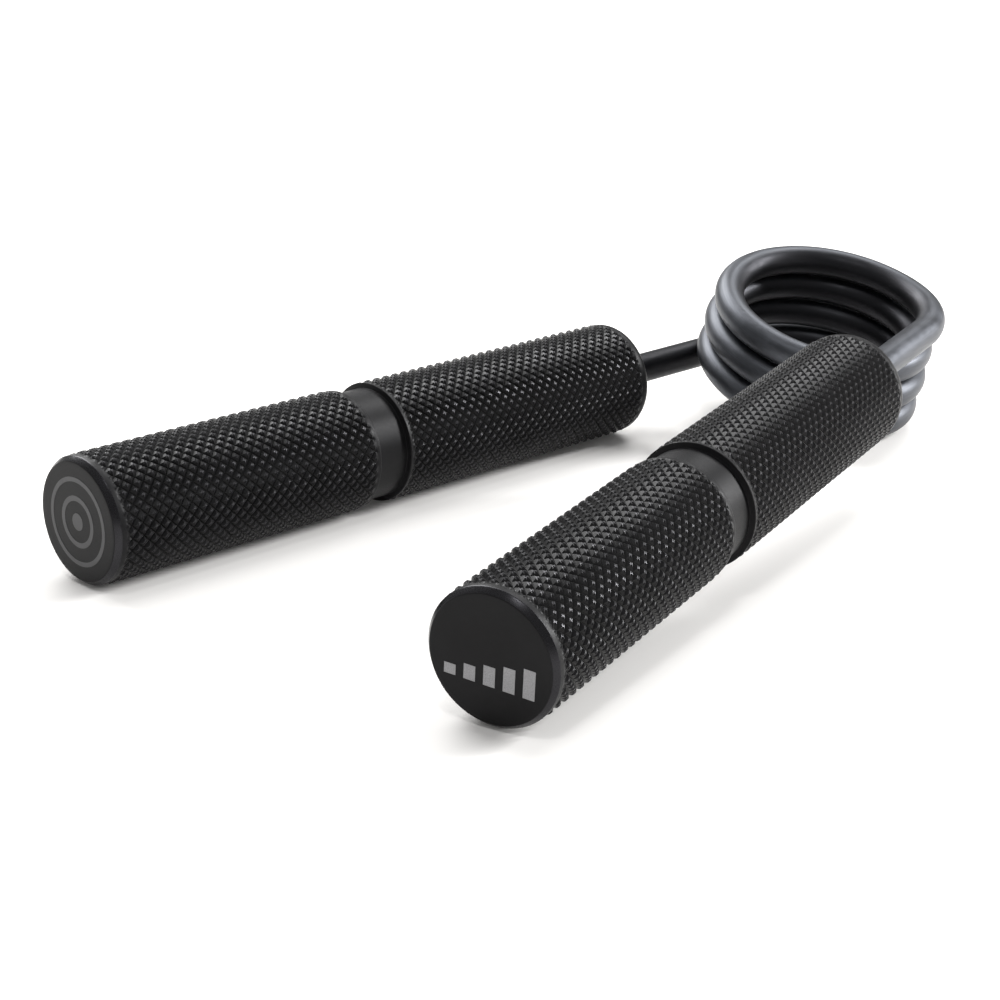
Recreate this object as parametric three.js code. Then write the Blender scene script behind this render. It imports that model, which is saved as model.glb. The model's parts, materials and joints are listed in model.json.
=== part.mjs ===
// Hand grip exerciser: two round bar handles on the legs of one torsion spring.
// Millimetres, +Z up, free handle ends towards -Y, coil towards +Y, at rest on the floor.
import * as THREE from 'three';

// Sizes that drive the part
const HANDLE_DIAMETER = 22.5;
const HANDLE_LENGTH = 130;
const FREE_END_CHAMFER = 1.0;
const SPRING_END_CHAMFER = 2.2;
const GROOVE_START = 57.2;      // from the free end to the front shoulder
const GROOVE_LENGTH = 7.2;
const GROOVE_DEPTH = 1.1;
const WIRE_DIAMETER = 5.6;
const COIL_MEAN_DIAMETER = 42;
const WHOLE_TURNS = 3;          // the part turn on top follows from the opening angle
const OPENING_ANGLE = 14.5;     // degrees between the handles at rest
const LEG_LENGTH = 37.3;        // bare wire from a handle to the coil
const LEG_GRIP = 60;            // wire held inside a handle
const TURN_GAP = 0.36;          // between neighbouring close turns
const LOOSE_GAP = 1.8;          // extra lift of the wire after its first turn
const COIL_LEAN = 0.06;         // rise per mm towards the far side of the coil
const PIECE_GAP = 0.3;          // between neighbouring lengths of the wire
const BORE_CLEARANCE = 0.3;     // on the radius, round the wire in its handle
const WIRE_END_CHAMFER = 0.6;

// Sizes that follow
const HANDLE_RADIUS = HANDLE_DIAMETER / 2;
const WIRE_RADIUS = WIRE_DIAMETER / 2;
const COIL_RADIUS = COIL_MEAN_DIAMETER / 2;
const HALF_ANGLE = THREE.MathUtils.degToRad(OPENING_ANGLE / 2);
const TURNS = WHOLE_TURNS + 0.5 - OPENING_ANGLE / 360;
const EASE = 0.06;              // turns over which the wire leaves a leg's line
const PITCH = (WIRE_DIAMETER + TURN_GAP) / (1 - EASE / 2);
const AXIS_OFFSET = PITCH * (TURNS - EASE) + LOOSE_GAP;  // between the handle axes, along the coil
const COIL_ARCS = 2 * WHOLE_TURNS + 1;

const handlePaint = new THREE.MeshStandardMaterial({ color: 0x1b1b1d, roughness: 0.45, metalness: 0.6 });
const springSteel = new THREE.MeshStandardMaterial({ color: 0x5b5f66, roughness: 0.3, metalness: 0.9 });

function smooth(x) {
  const c = Math.min(1, Math.max(0, x));
  return c * c * (3 - 2 * c);
}

// Turns of climb after t turns, level at both ends
function eased(t) {
  if (t < EASE) return (t * t) / (2 * EASE);
  if (t > TURNS - EASE) return TURNS - EASE - (TURNS - t) ** 2 / (2 * EASE);
  return t - EASE / 2;
}

function wireHeight(t, y) {
  const climb = PITCH * eased(t) + LOOSE_GAP * smooth((t - 0.5) / 0.9) - AXIS_OFFSET / 2;
  const lean = COIL_LEAN * (y - COIL_RADIUS * Math.sin(HALF_ANGLE));
  return climb + lean * smooth(Math.min(t, TURNS - t) / EASE);
}

// Centre of the wire after t turns, from the left leg (t = 0) to the right leg (t = TURNS)
function coilPoint(t) {
  const a = Math.PI - HALF_ANGLE - 2 * Math.PI * t;
  const x = COIL_RADIUS * Math.cos(a), y = COIL_RADIUS * Math.sin(a);
  return new THREE.Vector3(x, y, wireHeight(t, y));
}

// side is -1 for the left leg and +1 for the right leg
function legDirection(side) {
  return new THREE.Vector3(-side * Math.sin(HALF_ANGLE), Math.cos(HALF_ANGLE), 0);
}

function legTangentPoint(side) {
  return coilPoint(side < 0 ? 0 : TURNS);
}

function freeEnd(side) {
  return legTangentPoint(side).addScaledVector(legDirection(side), -(HANDLE_LENGTH + LEG_LENGTH));
}

// A turned solid whose profile runs along the leg from the free end
function turnedAlongLeg(side, profile, segments) {
  const geometry = new THREE.LatheGeometry(profile.map(([r, s]) => new THREE.Vector2(r, s)), segments);
  const turn = new THREE.Quaternion().setFromUnitVectors(new THREE.Vector3(0, 1, 0), legDirection(side));
  geometry.applyQuaternion(turn);
  const start = freeEnd(side);
  geometry.translate(start.x, start.y, start.z);
  return geometry;
}

function handleProfile() {
  const waist = HANDLE_RADIUS - GROOVE_DEPTH;
  const bore = WIRE_RADIUS + BORE_CLEARANCE;
  const grooveEnd = GROOVE_START + GROOVE_LENGTH;
  const bottom = HANDLE_LENGTH - LEG_GRIP;
  return [
    [0, 0], [HANDLE_RADIUS - FREE_END_CHAMFER, 0], [HANDLE_RADIUS, FREE_END_CHAMFER],
    [HANDLE_RADIUS, GROOVE_START], [waist, GROOVE_START + 0.6 * GROOVE_DEPTH],
    [waist, grooveEnd - 0.15 * GROOVE_DEPTH], [HANDLE_RADIUS - 0.15, grooveEnd],
    [HANDLE_RADIUS, grooveEnd + 0.15], [HANDLE_RADIUS, HANDLE_LENGTH - SPRING_END_CHAMFER],
    [HANDLE_RADIUS - 0.3 * SPRING_END_CHAMFER, HANDLE_LENGTH - 0.3 * SPRING_END_CHAMFER],
    [HANDLE_RADIUS - SPRING_END_CHAMFER, HANDLE_LENGTH], [bore, HANDLE_LENGTH], [bore, bottom], [0, bottom],
  ];
}

function legProfile() {
  const end = HANDLE_LENGTH - LEG_GRIP + PIECE_GAP;
  const stop = HANDLE_LENGTH + LEG_LENGTH - PIECE_GAP / 2;
  return [[0, end], [WIRE_RADIUS - WIRE_END_CHAMFER, end], [WIRE_RADIUS, end + WIRE_END_CHAMFER], [WIRE_RADIUS, stop], [0, stop]];
}

// A closed length of round wire along the coil, from t0 to t1 turns
function coilArc(t0, t1, steps, sides) {
  const positions = [], index = [];
  const step = 1e-4;
  for (let i = 0; i <= steps; i++) {
    const t = t0 + ((t1 - t0) * i) / steps;
    const centre = coilPoint(t);
    const along = coilPoint(t + step).sub(coilPoint(t - step)).normalize();
    const out = new THREE.Vector3(centre.x, centre.y, 0).normalize();
    const across = new THREE.Vector3().crossVectors(along, out).normalize();
    out.crossVectors(across, along).normalize();
    for (let k = 0; k < sides; k++) {
      const a = (2 * Math.PI * k) / sides;
      const p = centre.clone().addScaledVector(out, WIRE_RADIUS * Math.cos(a)).addScaledVector(across, WIRE_RADIUS * Math.sin(a));
      positions.push(p.x, p.y, p.z);
    }
  }
  for (let i = 0; i < steps; i++) {
    for (let k = 0; k < sides; k++) {
      const a = i * sides + k, b = i * sides + ((k + 1) % sides), c = a + sides, d = b + sides;
      index.push(a, b, d, a, d, c);
    }
  }
  const last = steps * sides;
  for (let k = 1; k < sides - 1; k++) {
    index.push(0, k + 1, k, last, last + k, last + k + 1);
  }
  const geometry = new THREE.BufferGeometry();
  geometry.setAttribute('position', new THREE.Float32BufferAttribute(positions, 3));
  geometry.setIndex(index);
  geometry.computeVertexNormals();
  return geometry;
}

function lowestOnHandle(side, up) {
  const along = legDirection(side);
  const down = up.clone().addScaledVector(along, -up.dot(along)).normalize().negate();
  const rings = [FREE_END_CHAMFER, HANDLE_LENGTH - SPRING_END_CHAMFER];
  const points = rings.map((s) => freeEnd(side).addScaledVector(along, s).addScaledVector(down, HANDLE_RADIUS));
  return points.reduce((low, p) => (p.dot(up) < low.dot(up) ? p : low));
}

function lowestOnCoil(up) {
  let low = null;
  for (let i = 0; i <= 400; i++) {
    const t = (TURNS * i) / 400;
    const p = coilPoint(t).addScaledVector(up, -WIRE_RADIUS);
    if (!low || p.dot(up) < low.dot(up)) low = p;
  }
  return low;
}

// The up direction when the part lies on both free ends and the coil's lowest turn
function restingUp() {
  let up = new THREE.Vector3(0, 0, 1);
  for (let i = 0; i < 60; i++) {
    const left = lowestOnHandle(-1, up), right = lowestOnHandle(1, up), coil = lowestOnCoil(up);
    const next = right.sub(left).cross(coil.sub(left)).normalize();
    if (next.z < 0) next.negate();
    up = up.lerp(next, 0.5).normalize();
  }
  return up;
}

function restingPose() {
  const z = restingUp();
  const y = new THREE.Vector3(0, 1, 0);
  y.addScaledVector(z, -y.dot(z)).normalize();
  const x = new THREE.Vector3().crossVectors(y, z);
  return new THREE.Matrix4().makeBasis(x, y, z).transpose();
}

function addMesh(parent, name, geometry, material) {
  const mesh = new THREE.Mesh(geometry, material);
  mesh.name = name;
  parent.add(mesh);
}

function build() {
  const gripper = new THREE.Group();
  gripper.name = 'gripper';
  for (const [side, word] of [[-1, 'left'], [1, 'right']]) {
    addMesh(gripper, `handle_${word}`, turnedAlongLeg(side, handleProfile(), 48), handlePaint);
    addMesh(gripper, `spring_leg_${word}`, turnedAlongLeg(side, legProfile(), 16), springSteel);
  }
  const halfGap = PIECE_GAP / 2 / (2 * Math.PI * COIL_RADIUS);
  for (let i = 0; i < COIL_ARCS; i++) {
    const t0 = (TURNS * i) / COIL_ARCS + halfGap, t1 = (TURNS * (i + 1)) / COIL_ARCS - halfGap;
    addMesh(gripper, `spring_coil_${i + 1}`, coilArc(t0, t1, 20, 16), springSteel);
  }
  gripper.applyMatrix4(restingPose());
  gripper.updateMatrixWorld(true);
  const box = new THREE.Box3().setFromObject(gripper, true);
  gripper.position.sub(new THREE.Vector3((box.min.x + box.max.x) / 2, (box.min.y + box.max.y) / 2, box.min.z));
  const part = new THREE.Group();
  part.name = 'hand_grip_exerciser';
  part.add(gripper);
  part.updateMatrixWorld(true);
  return part;
}

export default build();
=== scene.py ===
"""Hand grip exerciser: two knurled bar handles on the ends of one torsion spring."""
import json
import math

import bpy
import numpy as np
from bpy.props import FloatProperty, FloatVectorProperty, IntProperty, PointerProperty
from mathutils import Matrix, Quaternion, Vector


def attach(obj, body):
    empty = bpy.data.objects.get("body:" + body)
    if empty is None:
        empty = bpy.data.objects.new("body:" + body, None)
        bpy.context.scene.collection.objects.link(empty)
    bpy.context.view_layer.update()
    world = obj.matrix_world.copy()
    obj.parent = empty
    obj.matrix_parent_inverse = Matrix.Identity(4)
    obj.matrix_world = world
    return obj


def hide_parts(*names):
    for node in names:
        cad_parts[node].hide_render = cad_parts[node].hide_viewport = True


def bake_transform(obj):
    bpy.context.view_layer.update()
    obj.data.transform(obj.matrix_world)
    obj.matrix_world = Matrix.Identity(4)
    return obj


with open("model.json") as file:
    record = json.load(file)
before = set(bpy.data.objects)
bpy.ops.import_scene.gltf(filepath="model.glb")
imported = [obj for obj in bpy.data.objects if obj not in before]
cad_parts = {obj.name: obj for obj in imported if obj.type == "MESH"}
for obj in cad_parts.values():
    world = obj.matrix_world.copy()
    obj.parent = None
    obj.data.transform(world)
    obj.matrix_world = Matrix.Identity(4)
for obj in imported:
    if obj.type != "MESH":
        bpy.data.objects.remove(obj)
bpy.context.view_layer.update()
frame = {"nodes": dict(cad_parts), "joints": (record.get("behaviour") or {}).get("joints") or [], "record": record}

bl_info = {
    "name": "Hand Grip Exerciser",
    "version": (1, 0, 0),
    "blender": (4, 5, 0),
    "location": "View3D > Sidebar > Grip",
    "description": "Knurled handles, torsion spring and a plain studio, built round the packed frame",
    "category": "Add Mesh",
}

MOUNTS = {m["name"]: m for m in frame["record"]["mounts"]}
SQUEEZE = next(j for j in frame["joints"] if j["name"] == "squeeze")
COIL_NODES = sorted(n for n in frame["nodes"] if n.startswith("spring_coil_"))
MM = 0.001
SIDES = {"left": -1, "right": 1}
SENSOR_WIDTH = 36.0
CELLS = 6               # mesh cells across one knurl repeat
CREST_FLAT = 0.66       # share of a full diamond's height at which its crest is worn flat
RIM_DROP = 0.42         # how far plain rims lie below the crests, as a share of the knurl depth
PLAIN_CREST = 0.55      # crest value given to surfaces without knurl
EDGE_ROUNDING = 0.12    # mm, on turned edges
MARK_HEIGHT = 0.03      # mm, of the marks above the free end
MARK_SINK = 0.02        # mm, of the marks into the free end
STEPS_PER_TURN = 144    # rings along one turn of the wire
WIRE_SIDES = 40
WIRE_END_CHAMFER = 0.6  # mm
LIFT_TURNS = 0.22       # part of a turn in which the wire lifts off a leg
INSET_TURNS = 0.2       # part of a turn in which the coil pulls in to its own radius
FLOOR_HALF = 4.0        # m
LAMPS = (               # setting that holds its power, place, aim, width and height, in m
    ("key", (-0.75, 0.25, 0.75), (0, 0, 0.01), 0.7, 0.7),
    ("side", (0.62, 0.78, 0.5), (0.02, 0, 0.01), 0.055, 0.6),
    ("top", (-0.1, 0.75, 0.95), (0, 0, 0), 0.5, 0.5),
    ("front", (0.22, -0.42, 0.95), (0, 0.07, 0.02), 0.16, 0.16),
)
FAR_GLOW = 0.75         # light given off by the floor where the lamps no longer reach it


# ---------------------------------------------------------------- places

def spring_axes():
    """Centre of the coil and its three directions: across, along the grip, and up the coil."""
    up = -Vector(SQUEEZE["axis"]).normalized()
    along = Vector((0, 0, 0))
    for side in SIDES:
        along -= Vector(MOUNTS[f"{side}_free_end"]["axis"])
    along = (along - up * along.dot(up)).normalized()
    return Vector(SQUEEZE["pos_m"]), along.cross(up), along, up


def handle_matrix(side):
    """Local Z runs from the free end along the handle, local Y points up the coil's axis."""
    mount = MOUNTS[f"{side}_free_end"]
    z = -Vector(mount["axis"]).normalized()
    y = spring_axes()[3]
    y = (y - z * y.dot(z)).normalized()
    x = y.cross(z)
    turn = Matrix((x, y, z)).transposed().to_4x4()
    return Matrix.Translation(Vector(mount["pos_m"])) @ turn


# ---------------------------------------------------------------- sizes and finishes

class GripHandleSizes(bpy.types.PropertyGroup):
    diameter: FloatProperty(
        name="Diameter",
        description="Over the crests of the knurl",
        default=22.5 * MM, unit="LENGTH", precision=4)
    length: FloatProperty(
        name="Length",
        description="Free end to spring end",
        default=130 * MM, unit="LENGTH", precision=4)
    free_chamfer: FloatProperty(
        name="Free end chamfer",
        description="Width of the bevel round the free end",
        default=1.0 * MM, unit="LENGTH", precision=4)
    spring_chamfer: FloatProperty(
        name="Spring end rounding",
        description="Rounding of the end that holds the wire",
        default=2.2 * MM, unit="LENGTH", precision=4)
    waist_start: FloatProperty(
        name="Waist start",
        description="Free end to the front shoulder of the waist",
        default=57.2 * MM, unit="LENGTH", precision=4)
    waist_length: FloatProperty(
        name="Waist length",
        description="Shoulder to shoulder",
        default=7.2 * MM, unit="LENGTH", precision=4)
    waist_depth: FloatProperty(
        name="Waist depth",
        description="How far the waist lies below the crests",
        default=1.1 * MM, unit="LENGTH", precision=4)
    bore_diameter: FloatProperty(
        name="Bore",
        description="Blind bore that takes the wire",
        default=6.2 * MM, unit="LENGTH", precision=4)
    bore_depth: FloatProperty(
        name="Bore depth",
        description="Depth of the blind bore",
        default=60 * MM, unit="LENGTH", precision=4)
    knurl_count: IntProperty(
        name="Knurl count",
        description="Diamonds round the handle",
        default=31, min=12, max=60)
    knurl_pitch: FloatProperty(
        name="Knurl pitch",
        description="Length of one diamond along the handle",
        default=2.25 * MM, unit="LENGTH", precision=4)
    knurl_depth: FloatProperty(
        name="Knurl depth",
        description="Crest to bottom of the cut",
        default=0.46 * MM, unit="LENGTH", precision=5)


class GripSpringSizes(bpy.types.PropertyGroup):
    wire_diameter: FloatProperty(
        name="Wire",
        description="Diameter of the spring wire",
        default=6.0 * MM, unit="LENGTH", precision=4)
    coil_diameter: FloatProperty(
        name="Coil",
        description="Mean diameter of the coil",
        default=42 * MM, unit="LENGTH", precision=4)
    whole_turns: IntProperty(
        name="Whole turns",
        description="Turns before the part turn that the opening adds",
        default=3, min=1, max=8)
    opening: FloatProperty(
        name="Opening",
        description="Angle between the handles at rest",
        default=math.radians(14.5), subtype="ANGLE")
    leg_length: FloatProperty(
        name="Bare leg",
        description="Wire between a handle and the coil",
        default=37.3 * MM, unit="LENGTH", precision=4)
    leg_grip: FloatProperty(
        name="Leg in handle",
        description="Wire held in the bore",
        default=59.7 * MM, unit="LENGTH", precision=4)
    turn_gap: FloatProperty(
        name="Turn gap",
        description="Gap between close turns",
        default=0.03 * MM, unit="LENGTH", precision=5)
    rise: FloatProperty(
        name="Rise",
        description="Height between the two legs along the coil",
        default=22.689 * MM, unit="LENGTH", precision=5)
    narrowing: FloatProperty(
        name="Last turn narrowing",
        description="How much smaller the last turn's radius is",
        default=0.6 * MM, unit="LENGTH", precision=4)
    inset: FloatProperty(
        name="Coil inset",
        description="How much closer to its centre the coil runs than its straight ends",
        default=0.22 * MM, unit="LENGTH", precision=5)
    lean: FloatProperty(
        name="Lean",
        description="Rise of the turns towards the far side of the coil",
        default=0.06)


class GripFinish(bpy.types.PropertyGroup):
    anodised: FloatVectorProperty(
        name="Anodised black",
        description="Colour of the handles",
        default=(0.0065, 0.0064, 0.0070), subtype="COLOR", min=0, max=1)
    gunmetal: FloatVectorProperty(
        name="Gunmetal",
        description="Colour of the coil",
        default=(0.074, 0.078, 0.088), subtype="COLOR", min=0, max=1)
    # Leg black also serves as the painted shade on the inside of the coil.
    leg_black_and_inside_shade: FloatVectorProperty(
        name="Leg black",
        description="Colour of the straight ends of the wire",
        default=(0.022, 0.022, 0.025), subtype="COLOR", min=0, max=1)
    etch_grey: FloatVectorProperty(
        name="Etch grey",
        description="Colour of the bars on the right end",
        default=(0.29, 0.29, 0.30), subtype="COLOR", min=0, max=1)
    # Painted shade: a darkened copy of the etch grey, given to the left end's rings to stand in for the dimmer
    # light there.
    etch_shaded: FloatVectorProperty(
        name="Etch dim",
        description="Colour of the rings on the left end",
        default=(0.075, 0.075, 0.078), subtype="COLOR", min=0, max=1)


class GripStudio(bpy.types.PropertyGroup):
    camera_place: FloatVectorProperty(
        name="Camera",
        description="Place of the camera",
        default=(0.21928, -0.31665, 0.1355), subtype="TRANSLATION")
    camera_aim: FloatVectorProperty(
        name="Aim",
        description="Point at the middle of the view",
        default=(-0.00119, -0.03404, 0.0093), subtype="TRANSLATION")
    camera_roll: FloatProperty(
        name="Roll",
        description="Turn of the camera about its line of sight",
        default=math.radians(1.08), subtype="ANGLE")
    lens: FloatProperty(
        name="Lens",
        description="Focal length on a 36 mm sensor",
        default=78.63)
    key: FloatProperty(
        name="Key light",
        description="Power of the soft light from the upper left",
        default=14.0, unit="POWER")
    side: FloatProperty(
        name="Side light",
        description="Power of the strip light on the right",
        default=17.0, unit="POWER")
    top: FloatProperty(
        name="Top light",
        description="Power of the overhead light",
        default=6.0, unit="POWER")
    front: FloatProperty(
        name="Front light",
        description="Power of the small light high at the front",
        default=1.4, unit="POWER")
    surround: FloatProperty(
        name="Surround",
        description="Brightness of the room",
        default=0.37)
    floor_glow: FloatProperty(
        name="Floor glow",
        description="Light given off by the floor, which thins the shadows",
        default=0.03)


# ---------------------------------------------------------------- mesh helpers

def new_mesh_object(name, verts, faces, smooth, matrix=Matrix.Identity(4)):
    """A mesh put in place by the matrix.

    Each point keeps its own place on the part as the attribute part_place, in mm.
    """
    local = np.array([tuple(v) for v in verts], float)
    turn, move = np.array(matrix.to_3x3()), np.array(matrix.translation)
    mesh = bpy.data.meshes.new(name)
    mesh.from_pydata((local * MM @ turn.T + move).tolist(), [], faces)
    mesh.polygons.foreach_set("use_smooth", smooth)
    mesh.update()
    places = mesh.attributes.new("part_place", "FLOAT_VECTOR", "POINT")
    places.data.foreach_set("vector", local.astype(np.float32).ravel())
    obj = bpy.data.objects.new(name, mesh)
    bpy.context.scene.collection.objects.link(obj)
    return obj


def set_point_values(obj, name, values):
    attribute = obj.data.attributes.new(name, "FLOAT", "POINT")
    attribute.data.foreach_set("value", np.asarray(values, np.float32))


def rounded_corner(before, corner, after, rounding=EDGE_ROUNDING, steps=3):
    """Points of a small round over a corner of a turned profile, all in mm."""
    b, c, a = (np.array(p, float) for p in (before, corner, after))
    u, w = (b - c) / np.linalg.norm(b - c), (a - c) / np.linalg.norm(a - c)
    start, end = c + u * rounding, c + w * rounding
    return [tuple((1 - t) ** 2 * start + 2 * t * (1 - t) * c + t * t * end)
            for t in np.linspace(0, 1, steps + 1)]


# ---------------------------------------------------------------- handles

def triangle_wave(x):
    """0 at whole numbers and 1 half way between them."""
    return 1 - np.abs(2 * (x - np.floor(x)) - 1)


def diamond_height(round_repeats, along_repeats):
    """Height of the male diamond knurl, 0 in the cuts and 1 on the small flats worn on the crests."""
    ridge = np.minimum(triangle_wave(round_repeats + along_repeats),
                       triangle_wave(round_repeats - along_repeats))
    return np.minimum(ridge, CREST_FLAT) / CREST_FLAT


def handle_rings(size):
    """Rings of the handle from its free end to the bottom of its bore.

    Each is (radius, distance along, knurl row or None, share of the knurl depth).
    """
    radius, length = size.diameter / 2 / MM, size.length / MM
    depth, step = size.knurl_depth / MM, size.knurl_pitch / MM / CELLS
    bevel, rounding = size.free_chamfer / MM, size.spring_chamfer / MM
    start, end = size.waist_start / MM, (size.waist_start + size.waist_length) / MM
    waist, bore = radius - size.waist_depth / MM, size.bore_diameter / 2 / MM
    floor = length - size.bore_depth / MM
    rim = radius - RIM_DROP * depth

    rings = []

    def plain(points):
        rings.extend((r, s, None, 0.0) for r, s in points)

    def knurl(first, last):
        count = int((last - first) / step)
        for row in range(count + 1):
            share = min(1.0, min(row, count - row) / 2.0)
            rings.append((radius, first + row * step, row, share))

    face_edge, bevel_edge = (radius - bevel, 0.0), (rim, bevel)
    plain([(r, 0.0) for r in (2.5, 5.0, 7.5, 9.5)])
    plain(rounded_corner((0, 0), face_edge, bevel_edge))
    plain(rounded_corner(face_edge, bevel_edge, (rim, bevel + 1)))
    plain([(rim, bevel + 0.7)])
    knurl(bevel + 1.05, start - 0.55)
    plain([(rim, start - 0.35)])
    shoulder, foot = (rim, start), (waist, start + 0.6 * size.waist_depth / MM)
    plain(rounded_corner((rim, start - 0.3), shoulder, foot))
    plain([foot])
    plain([(waist, s) for s in np.linspace(foot[1] + 0.3, end - 0.55, 5)])
    step_foot, step_edge = (waist, end - 0.15), (rim + 0.1, end)
    plain(rounded_corner((waist, end - 1), step_foot, step_edge, 0.1, 2))
    plain(rounded_corner(step_foot, step_edge, (rim + 0.1, end + 1), 0.16, 3))
    plain([(rim, end + 0.5)])
    knurl(end + 0.62, length - rounding - 0.45)
    plain([(rim, length - rounding - 0.2)])
    for turn in np.linspace(0, math.pi / 2, 9):
        plain([(rim - rounding * (1 - math.cos(turn)), length - rounding * (1 - math.sin(turn)))])
    plain([(r, length) for r in (7.5, 5.5)])
    plain(rounded_corner((5, length), (bore + 0.35, length), (bore, length - 0.35), 0.08, 2))
    plain([(bore, length - 0.35), (bore, length - 1.5), (bore, floor + 0.5), (bore - 0.5, floor)])
    return rings


def knurled_handle(name, size, matrix):
    around = size.knurl_count * CELLS
    radius, depth = size.diameter / 2 / MM, size.knurl_depth / MM
    rim = radius - RIM_DROP * depth
    rings = handle_rings(size)
    angle = np.arange(around) * 2 * math.pi / around
    verts, crest, turned = [], [], []
    for r, along, row, share in rings:
        reach = np.full(around, float(r))
        tip = np.full(around, PLAIN_CREST)
        if row is not None:
            height = diamond_height(np.arange(around) / CELLS, row / CELLS)
            reach = rim + (radius - depth * (1 - height) - rim) * share
            tip = PLAIN_CREST + (height - PLAIN_CREST) * share
        verts.append(np.stack([reach * np.cos(angle), reach * np.sin(angle), np.full(around, along)], 1))
        crest.append(tip)
        turned.append(np.full(around, 1.0 if row is None else 0.0))
    verts = np.concatenate(verts + [np.array([[0, 0, rings[0][1]], [0, 0, rings[-1][1]]])])
    crest = np.concatenate(crest + [[PLAIN_CREST, PLAIN_CREST]])
    turned = np.concatenate(turned + [[1.0, 1.0]])

    faces, smooth = [], []
    for i in range(len(rings) - 1):
        cut = rings[i][2] is not None and rings[i + 1][2] is not None
        row = rings[i][2]
        for j in range(around):
            k = (j + 1) % around
            a, b, c, d = i * around + j, i * around + k, (i + 1) * around + k, (i + 1) * around + j
            if not cut:
                faces.append((a, b, c, d))
                smooth.append(True)
            elif (j - row) % CELLS == 0:
                faces += [(a, b, c), (a, c, d)]
                smooth += [False, False]
            else:
                faces += [(a, b, d), (b, c, d)]
                smooth += [False, False]
    front, back, last = len(verts) - 2, len(verts) - 1, (len(rings) - 1) * around
    for j in range(around):
        k = (j + 1) % around
        faces += [(front, k, j), (back, last + j, last + k)]
        smooth += [True, True]
    obj = new_mesh_object(name, verts, faces, smooth, matrix)
    set_point_values(obj, "crest", crest)
    set_point_values(obj, "turned", turned)
    return obj


# ---------------------------------------------------------------- marks on the free ends

def raised_outline(outline, verts, faces):
    """Adds a flat closed plate. Its outline runs counter-clockwise seen from outside the free end."""
    first, count = len(verts), len(outline)
    verts += [(x, y, -MARK_HEIGHT) for x, y in outline] + [(x, y, MARK_SINK) for x, y in outline]
    faces.append(tuple(first + k for k in range(count)))
    faces.append(tuple(first + count + k for k in reversed(range(count))))
    for k in range(count):
        n = (k + 1) % count
        faces.append((first + k, first + count + k, first + count + n, first + n))


def raised_ring(inner, outer, verts, faces, count=96):
    """Adds a flat closed ring between the two radii."""
    first = len(verts)
    for k in range(count):
        c, s = math.cos(2 * math.pi * k / count), math.sin(2 * math.pi * k / count)
        for r, z in ((inner, -MARK_HEIGHT), (outer, -MARK_HEIGHT), (outer, MARK_SINK), (inner, MARK_SINK)):
            verts.append((-r * c, r * s, z))
    for k in range(count):
        a, b = first + 4 * k, first + 4 * ((k + 1) % count)
        faces += [(a + i, a + (i + 1) % 4, b + (i + 1) % 4, b + i) for i in range(4)]


def seen_from_free_end(x, y, turn=0.0):
    """A point right and up on the free end, as seen from outside it, in the handle's own axes."""
    c, s = math.cos(turn), math.sin(turn)
    return (-(c * x - s * y), s * x + c * y)


def level_bars(turn):
    """Five bars of rising height, turned by this angle."""
    verts, faces = [], []
    width, pitch, foot = 1.95, 3.3, -4.2
    first_height, rise = 1.7, 0.75
    for k in range(5):
        middle, top = (k - 2) * pitch, foot + first_height + rise * k
        left, right = middle - width / 2, middle + width / 2
        corners = [(left, foot), (right, foot), (right, top), (left, top)]
        raised_outline([seen_from_free_end(x, y, turn) for x, y in corners], verts, faces)
    return verts, faces


def target_rings():
    """Two rings round a centre disc."""
    verts, faces = [], []
    for inner, outer in ((6.9, 7.7), (3.6, 4.5)):
        raised_ring(inner, outer, verts, faces)
    disc_radius, sides = 1.5, 48
    angles = np.arange(sides) * 2 * math.pi / sides
    disc = [seen_from_free_end(disc_radius * math.cos(a), disc_radius * math.sin(a)) for a in angles]
    raised_outline(disc, verts, faces)
    return verts, faces


# ---------------------------------------------------------------- spring

def smooth_step(x):
    """0 up to 0, 1 from 1 on, and smooth between."""
    c = min(1.0, max(0.0, x))
    return c * c * (3 - 2 * c)


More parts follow.
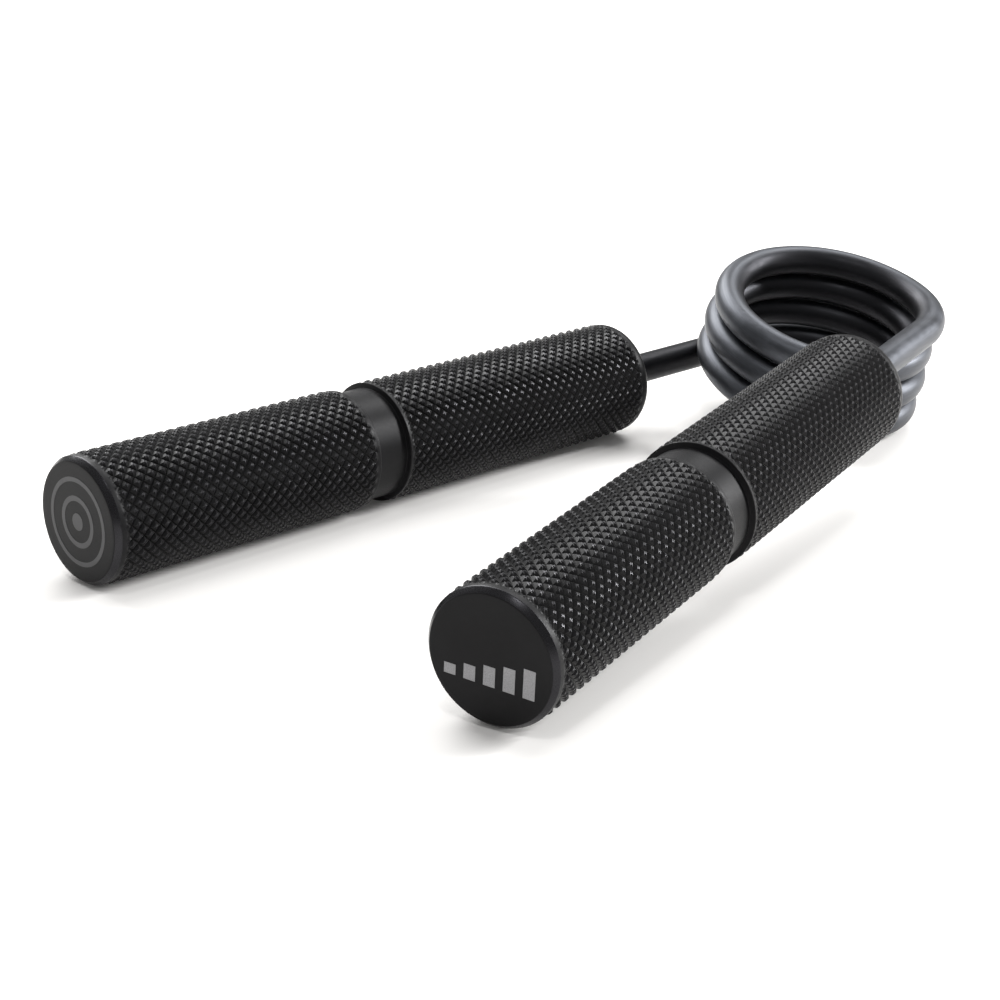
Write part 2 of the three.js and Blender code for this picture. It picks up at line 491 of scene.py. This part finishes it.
class WirePath:
    """Centre line of the wire in the coil's own axes, in mm."""

    EASE = 0.06         # part of a turn in which the climb starts and stops

    def __init__(self, size):
        self.half = size.opening / 2
        self.radius = size.coil_diameter / 2 / MM
        self.turns = size.whole_turns + 0.5 - math.degrees(size.opening) / 360
        self.pitch = (size.wire_diameter + size.turn_gap) / MM / (1 - self.EASE / 2)
        self.lean, self.rise = size.lean, size.rise / MM
        self.narrowing, self.inset = size.narrowing / MM, size.inset / MM
        self.spare = self.rise - self.pitch * (self.turns - self.EASE)
        self.bare, self.held = size.leg_length / MM, size.leg_grip / MM

    def climb(self, t):
        """Turns climbed after t turns round, with a soft start and stop."""
        if t < self.EASE:
            return t * t / (2 * self.EASE)
        if t > self.turns - self.EASE:
            return self.turns - self.EASE - (self.turns - t) ** 2 / (2 * self.EASE)
        return t - self.EASE / 2

    def coil_radius(self, t):
        """Radius after t turns: pulled in between the legs, and a little more on the last turn."""
        left = self.turns - t
        pulled_in = self.inset * smooth_step(min(t, left) / INSET_TURNS)
        last_turn = smooth_step((1.4 - left) / 0.5) * smooth_step(left / 0.3)
        return self.radius - pulled_in - self.narrowing * last_turn

    def coil_point(self, t):
        left = self.turns - t
        a = math.pi - self.half - 2 * math.pi * t
        radius = self.coil_radius(t)
        x, y = radius * math.cos(a), radius * math.sin(a)
        lean = self.lean * (y - self.radius * math.sin(self.half)) * smooth_step(min(t, left) / self.EASE)
        lift = 0.5 * smooth_step(t / LIFT_TURNS) + 0.5 * smooth_step((LIFT_TURNS - left) / LIFT_TURNS)
        z = self.pitch * self.climb(t) + self.spare * lift - self.rise / 2
        return Vector((x, y, z + lean))

    def leg_direction(self, side):
        """Direction of a leg from its handle to the coil; side is -1 on the left and 1 on the right."""
        return Vector((-side * math.sin(self.half), math.cos(self.half), 0))

    def points(self):
        """Points along the wire from the left bore to the right bore."""
        held = np.linspace(self.bare + self.held, self.bare, 16)[:-1]
        bare = np.linspace(self.bare, 0, 40)[:-1]
        out = np.concatenate([held, bare])
        left, right = self.coil_point(0), self.coil_point(self.turns)
        path = [left - self.leg_direction(-1) * d for d in out]
        steps = int(self.turns * STEPS_PER_TURN)
        path += [self.coil_point(self.turns * k / steps) for k in range(steps + 1)]
        path += [right - self.leg_direction(1) * d for d in out[::-1]]
        return path


def wire_rings(path, radius):
    """Rings of the wire with a small chamfer at both ends: (point, direction, radius, length so far)."""
    last = len(path) - 1
    rings, run = [], 0.0
    for i, point in enumerate(path):
        along = (path[min(i + 1, last)] - path[max(i - 1, 0)]).normalized()
        run += (point - path[i - 1]).length if i else 0.0
        rings.append((point, along, radius, run))
    cut = WIRE_END_CHAMFER
    (start, first_along, _, _), (end, last_along, _, total) = rings[0], rings[-1]
    rings[0] = (start + first_along * cut, first_along, radius, cut)
    rings[-1] = (end - last_along * cut, last_along, radius, total - cut)
    tip_radius = radius - cut
    return [(start, first_along, tip_radius, 0.0)] + rings + [(end, last_along, tip_radius, total)]


def wire_mesh(name, path, radius, place):
    """A round wire along the path. Its points know their length along it and their place round it."""
    rings = wire_rings(path, radius)
    turn = np.arange(WIRE_SIDES) * 2 * math.pi / WIRE_SIDES
    out = Vector((0, 0, 1))
    verts = []
    for point, along, r, _ in rings:
        out = (out - along * out.dot(along)).normalized()
        across = along.cross(out)
        verts += [point + out * (r * math.cos(a)) + across * (r * math.sin(a)) for a in turn]
    faces = []
    for i in range(len(rings) - 1):
        for k in range(WIRE_SIDES):
            a, b = i * WIRE_SIDES + k, i * WIRE_SIDES + (k + 1) % WIRE_SIDES
            faces.append((a, b, b + WIRE_SIDES, a + WIRE_SIDES))
    faces.append(tuple(reversed(range(WIRE_SIDES))))
    faces.append(tuple((len(rings) - 1) * WIRE_SIDES + k for k in range(WIRE_SIDES)))
    smooth = [True] * (len(faces) - 2) + [False, False]
    obj = new_mesh_object(name, verts, faces, smooth, place)
    set_point_values(obj, "wire_length", np.repeat([ring[3] for ring in rings], WIRE_SIDES))
    set_point_values(obj, "wire_cos", np.tile(np.cos(turn), len(rings)))
    set_point_values(obj, "wire_sin", np.tile(np.sin(turn), len(rings)))
    return obj


# ---------------------------------------------------------------- finishes

class Nodes:
    """Short names for building a node tree."""

    def __init__(self, name):
        self.material = bpy.data.materials.new(name)
        self.material.use_nodes = True
        self.tree = self.material.node_tree
        self.shader = self.tree.nodes["Principled BSDF"]

    def add(self, kind, **settings):
        node = self.tree.nodes.new(kind)
        for key, value in settings.items():
            setattr(node, key, value)
        return node

    def link(self, source, target):
        self.tree.links.new(source, target)

    def feed(self, socket, value):
        if isinstance(value, bpy.types.NodeSocket):
            self.link(value, socket)
        else:
            socket.default_value = value

    def attribute(self, name):
        return self.add("ShaderNodeAttribute", attribute_name=name).outputs["Fac"]

    def place(self):
        """Place on the part, in mm."""
        return self.add("ShaderNodeAttribute", attribute_name="part_place").outputs["Vector"]

    def from_axis(self, place):
        """Distance from the part's own Z axis, in mm, and the distance along it."""
        split = self.add("ShaderNodeSeparateXYZ")
        self.link(place, split.inputs[0])
        x, y, z = split.outputs
        squares = self.math("ADD", self.math("MULTIPLY", x, x), self.math("MULTIPLY", y, y))
        return self.math("SQRT", squares), z

    def math(self, operation, a, b=0.0, clamp=False):
        node = self.add("ShaderNodeMath", operation=operation, use_clamp=clamp)
        self.feed(node.inputs[0], a)
        self.feed(node.inputs[1], b)
        return node.outputs[0]

    def join(self, x, y, z):
        node = self.add("ShaderNodeCombineXYZ")
        for socket, value in zip(node.inputs, (x, y, z)):
            self.feed(socket, value)
        return node.outputs[0]

    def noise(self, vector, scale, detail=3.0, roughness=0.55):
        node = self.add("ShaderNodeTexNoise")
        self.link(vector, node.inputs["Vector"])
        node.inputs["Scale"].default_value = scale
        node.inputs["Detail"].default_value = detail
        node.inputs["Roughness"].default_value = roughness
        return node.outputs["Fac"]

    def spread(self, value, low, high, to_low=0.0, to_high=1.0):
        node = self.add("ShaderNodeMapRange", interpolation_type="SMOOTHSTEP")
        self.link(value, node.inputs["Value"])
        limits = {"From Min": low, "From Max": high, "To Min": to_low, "To Max": to_high}
        for socket, number in limits.items():
            node.inputs[socket].default_value = number
        return node.outputs["Result"]

    def mix(self, share, a, b):
        node = self.add("ShaderNodeMix", data_type="RGBA")
        self.feed(node.inputs["Factor"], share)
        self.feed(node.inputs["A"], a)
        self.feed(node.inputs["B"], b)
        return node.outputs["Result"]

    def bump(self, height, distance, strength=1.0, normal=None):
        node = self.add("ShaderNodeBump")
        node.inputs["Strength"].default_value = strength
        node.inputs["Distance"].default_value = distance
        self.link(height, node.inputs["Height"])
        if normal is not None:
            self.link(normal, node.inputs["Normal"])
        return node.outputs["Normal"]


def colour(value, factor=1.0):
    """A colour with alpha, made darker or lighter by the factor."""
    return (value[0] * factor, value[1] * factor, value[2] * factor, 1.0)


def anodised_black(finish):
    """Black anodised bar: painted shade in the knurl cuts, worn crests, turning lines on the plain bands and ends.
    """
    n = Nodes("anodised_black")
    place, crest, turned = n.place(), n.attribute("crest"), n.attribute("turned")
    from_axis, z = n.from_axis(place)
    cloud = n.noise(place, 0.09, 4.0)
    grain = n.noise(place, 5.2, 2.0)
    rings = n.noise(n.join(from_axis, z, 0.0), 4.2, 2.0, 0.7)
    worn = n.math("MULTIPLY", n.spread(crest, 0.8, 1.0), n.spread(cloud, 0.3, 0.7, 0.35, 1.0))
    # Painted shade: the knurl cuts are darkened to 0.35 of the anodised colour, standing in for the shade in the
    # recesses.
    shaded_cuts = n.mix(n.spread(crest, 0.0, 0.6), colour(finish.anodised, 0.35), colour(finish.anodised))
    bevel = n.math("MULTIPLY", n.spread(z, 0.02, 0.15), n.spread(z, 1.0, 1.2, 1.0, 0.0))
    bright = n.math("MAXIMUM", worn, bevel)
    body = n.mix(bright, shaded_cuts, colour(finish.anodised, 5.0))
    tinted = n.mix(n.spread(cloud, 0.35, 0.75, 0.0, 0.35), body, colour(finish.anodised, 1.9))
    n.link(tinted, n.shader.inputs["Base Color"])
    n.link(n.math("ADD", n.math("MULTIPLY", bright, 0.65), 0.25), n.shader.inputs["Metallic"])
    n.shader.inputs["IOR"].default_value = 1.5
    n.shader.inputs["Specular IOR Level"].default_value = 0.14
    base_rough = n.math("ADD", n.spread(grain, 0.3, 0.7, 0.33, 0.44), n.math("MULTIPLY", turned, 0.05))
    rough = n.math("SUBTRACT", base_rough, n.math("MULTIPLY", bright, 0.14), clamp=True)
    n.link(rough, n.shader.inputs["Roughness"])
    lines = n.math("MULTIPLY", rings, turned)
    fine = n.bump(lines, 0.000010, 0.5)
    n.link(n.bump(grain, 0.000008, 0.5, fine), n.shader.inputs["Normal"])
    return n.material


def etched_mark(name, grey):
    """Matte laser-etched metal with a fine speckle."""
    n = Nodes(name)
    place = n.place()
    speckle = n.noise(place, 6.5, 2.0, 0.7)
    cloud = n.noise(place, 0.5, 2.0)
    shade = n.mix(n.spread(speckle, 0.3, 0.7), colour(grey, 0.72), colour(grey, 1.12))
    clouded = n.mix(n.spread(cloud, 0.35, 0.7, 0.0, 0.3), shade, colour(grey, 0.8))
    n.link(clouded, n.shader.inputs["Base Color"])
    n.shader.inputs["Metallic"].default_value = 0.2
    n.link(n.spread(speckle, 0.3, 0.7, 0.5, 0.68), n.shader.inputs["Roughness"])
    n.link(n.bump(speckle, 0.000012, 0.6), n.shader.inputs["Normal"])
    return n.material


def gunmetal_wire(finish, path):
    """Oil-blacked spring steel with drawing lines, painted shade on the inside of the coil, and the left leg
    coloured leg black.
    """
    n = Nodes("gunmetal_wire")
    reach = n.attribute("wire_length")
    coil_start = path.held + path.bare
    round_a, round_b = n.attribute("wire_cos"), n.attribute("wire_sin")
    drawn = n.join(n.math("MULTIPLY", round_a, 9.0), n.math("MULTIPLY", round_b, 9.0),
                   n.math("MULTIPLY", reach, 0.05))
    streaks = n.noise(drawn, 2.2, 4.0, 0.65)
    cloud_place = n.join(round_a, round_b, n.math("MULTIPLY", reach, 0.16))
    cloud = n.noise(cloud_place, 1.4, 4.0, 0.6)
    ragged = n.math("ADD", reach, n.math("MULTIPLY", n.math("SUBTRACT", cloud, 0.5), 5.0))
    in_coil = n.spread(ragged, coil_start - 4, coil_start + 3)
    from_axis, _ = n.from_axis(n.place())
    # Painted shade: the side of the wire facing the coil's hollow is darkened to the leg black colour.
    inner = n.spread(from_axis, path.radius - 2.9, path.radius - 0.6, 1.0, 0.0)
    oxide_and_inside_shade = n.mix(n.spread(cloud, 0.3, 0.72), colour(finish.gunmetal, 0.8), colour(finish.gunmetal, 1.12))
    oxide_and_inside_shade = n.mix(n.spread(streaks, 0.45, 0.75, 0.0, 0.35), oxide_and_inside_shade, colour(finish.gunmetal, 0.6))
    oxide_and_inside_shade = n.mix(inner, oxide_and_inside_shade, colour(finish.leg_black_and_inside_shade))
    n.link(n.mix(in_coil, colour(finish.leg_black_and_inside_shade), oxide_and_inside_shade), n.shader.inputs["Base Color"])
    n.shader.inputs["Metallic"].default_value = 0.9
    wear = n.spread(cloud, 0.3, 0.7, 0.38, 0.48)
    n.link(n.math("ADD", wear, n.spread(streaks, 0.3, 0.7, -0.03, 0.05)), n.shader.inputs["Roughness"])
    grain = n.noise(n.place(), 3.8, 2.0)
    lines = n.bump(streaks, 0.000018, 0.6)
    n.link(n.bump(grain, 0.000008, 0.35, lines), n.shader.inputs["Normal"])
    return n.material


def pale_floor(glow):
    """Matte pale floor that keeps its brightness away from the lamps."""
    n = Nodes("pale_floor")
    place = n.place()
    cloud = n.noise(place, 0.0016, 3.0)
    n.link(n.mix(cloud, (0.93, 0.915, 0.895, 1), (0.95, 0.938, 0.92, 1)), n.shader.inputs["Base Color"])
    n.shader.inputs["Roughness"].default_value = 0.75
    n.shader.inputs["Specular IOR Level"].default_value = 0.15
    n.shader.inputs["Emission Color"].default_value = (1.0, 0.985, 0.965, 1.0)
    distance, _ = n.from_axis(place)
    n.link(n.spread(distance, 350, 1100, glow, FAR_GLOW), n.shader.inputs["Emission Strength"])
    return n.material


# ---------------------------------------------------------------- operators

class GRIP_OT_handles(bpy.types.Operator):
    """Builds both knurled bar handles"""

    bl_idname = "grip.add_handles"
    bl_label = "Add Handles"

    def execute(self, context):
        size = context.scene.grip_handles
        material = anodised_black(context.scene.grip_finish)
        for side in SIDES:
            handle = knurled_handle(f"knurled_handle_{side}", size, handle_matrix(side))
            handle.data.materials.append(material)
            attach(handle, side)
            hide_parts(f"handle_{side}")
        return {"FINISHED"}


class GRIP_OT_marks(bpy.types.Operator):
    """Puts the plain etched marks on the free ends"""

    bl_idname = "grip.add_marks"
    bl_label = "Add End Marks"

    def execute(self, context):
        finish = context.scene.grip_finish
        made = {
            # The left rings take the darkened etch grey as painted shade.
            "left": (target_rings(), etched_mark("etched_dim", finish.etch_shaded)),
            "right": (level_bars(math.radians(11)), etched_mark("etched_grey", finish.etch_grey)),
        }
        for side, ((verts, faces), material) in made.items():
            smooth = [False] * len(faces)
            mark = new_mesh_object(f"end_mark_{side}", verts, faces, smooth, handle_matrix(side))
            mark.data.materials.append(material)
            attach(mark, side)
        return {"FINISHED"}


class GRIP_OT_spring(bpy.types.Operator):
    """Builds the torsion spring as one wire from bore to bore"""

    bl_idname = "grip.add_spring"
    bl_label = "Add Spring"

    def execute(self, context):
        size = context.scene.grip_spring
        wire = WirePath(size)
        centre, across, along, up = spring_axes()
        place = Matrix.Translation(centre) @ Matrix((across, along, up)).transposed().to_4x4()
        radius = size.wire_diameter / 2 / MM
        spring = wire_mesh("torsion_spring", wire.points(), radius, place)
        spring.data.materials.append(gunmetal_wire(context.scene.grip_finish, wire))
        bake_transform(spring)
        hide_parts("spring_leg_left", "spring_leg_right", *COIL_NODES)
        return {"FINISHED"}


def soft_light(name, place, aim, width, height, power):
    data = bpy.data.lights.new(name, "AREA")
    data.shape, data.size, data.size_y = "RECTANGLE", width, height
    data.energy = power
    light = bpy.data.objects.new(name, data)
    light.location = place
    light.rotation_mode = "QUATERNION"
    light.rotation_quaternion = (Vector(aim) - Vector(place)).to_track_quat("-Z", "Y")
    bpy.context.scene.collection.objects.link(light)


class GRIP_OT_studio(bpy.types.Operator):
    """Builds the floor, the lights and the camera"""

    bl_idname = "grip.add_studio"
    bl_label = "Add Studio"

    def execute(self, context):
        scene, studio = context.scene, context.scene.grip_studio
        half = FLOOR_HALF / MM
        corners = [(-half, -half, 0), (half, -half, 0), (half, half, 0), (-half, half, 0)]
        floor = new_mesh_object("floor", corners, [(0, 1, 2, 3)], [False])
        floor.data.materials.append(pale_floor(studio.floor_glow))

        for name, place, aim, width, height in LAMPS:
            soft_light(f"{name}_light", place, aim, width, height, getattr(studio, name))

        world = bpy.data.worlds.new("pale_room")
        world.use_nodes = True
        background = world.node_tree.nodes["Background"]
        background.inputs["Color"].default_value = (1.0, 1.0, 1.0, 1.0)
        background.inputs["Strength"].default_value = studio.surround
        scene.world = world
        scene.view_settings.view_transform = "Standard"

        data = bpy.data.cameras.new("camera")
        data.lens, data.sensor_width = studio.lens, SENSOR_WIDTH
        data.clip_start, data.clip_end = 0.01, 20.0
        camera = bpy.data.objects.new("camera", data)
        camera.location = studio.camera_place
        camera.rotation_mode = "QUATERNION"
        look = (Vector(studio.camera_aim) - Vector(studio.camera_place)).to_track_quat("-Z", "Y")
        camera.rotation_quaternion = look @ Quaternion((0, 0, 1), studio.camera_roll)
        scene.collection.objects.link(camera)
        scene.camera = camera
        return {"FINISHED"}


class GRIP_PT_panel(bpy.types.Panel):
    bl_label = "Hand Grip Exerciser"
    bl_idname = "GRIP_PT_panel"
    bl_space_type = "VIEW_3D"
    bl_region_type = "UI"
    bl_category = "Grip"

    def draw(self, context):
        for group, operator in GROUPS:
            box = self.layout.box()
            settings = getattr(context.scene, group)
            for key in settings.__annotations__:
                box.prop(settings, key)
            if operator:
                box.operator(operator)
        self.layout.operator("grip.add_marks")


GROUPS = (
    ("grip_handles", "grip.add_handles"),
    ("grip_spring", "grip.add_spring"),
    ("grip_finish", None),
    ("grip_studio", "grip.add_studio"),
)
CLASSES = (
    GripHandleSizes, GripSpringSizes, GripFinish, GripStudio,
    GRIP_OT_handles, GRIP_OT_marks, GRIP_OT_spring, GRIP_OT_studio, GRIP_PT_panel,
)


def register():
    for cls in CLASSES:
        bpy.utils.register_class(cls)
    bpy.types.Scene.grip_handles = PointerProperty(type=GripHandleSizes)
    bpy.types.Scene.grip_spring = PointerProperty(type=GripSpringSizes)
    bpy.types.Scene.grip_finish = PointerProperty(type=GripFinish)
    bpy.types.Scene.grip_studio = PointerProperty(type=GripStudio)


def unregister():
    for group, _ in GROUPS:
        delattr(bpy.types.Scene, group)
    for cls in reversed(CLASSES):
        bpy.utils.unregister_class(cls)


def main():
    register()
    bpy.ops.grip.add_handles()
    bpy.ops.grip.add_marks()
    bpy.ops.grip.add_spring()
    bpy.ops.grip.add_studio()


if __name__ == "__main__":
    main()
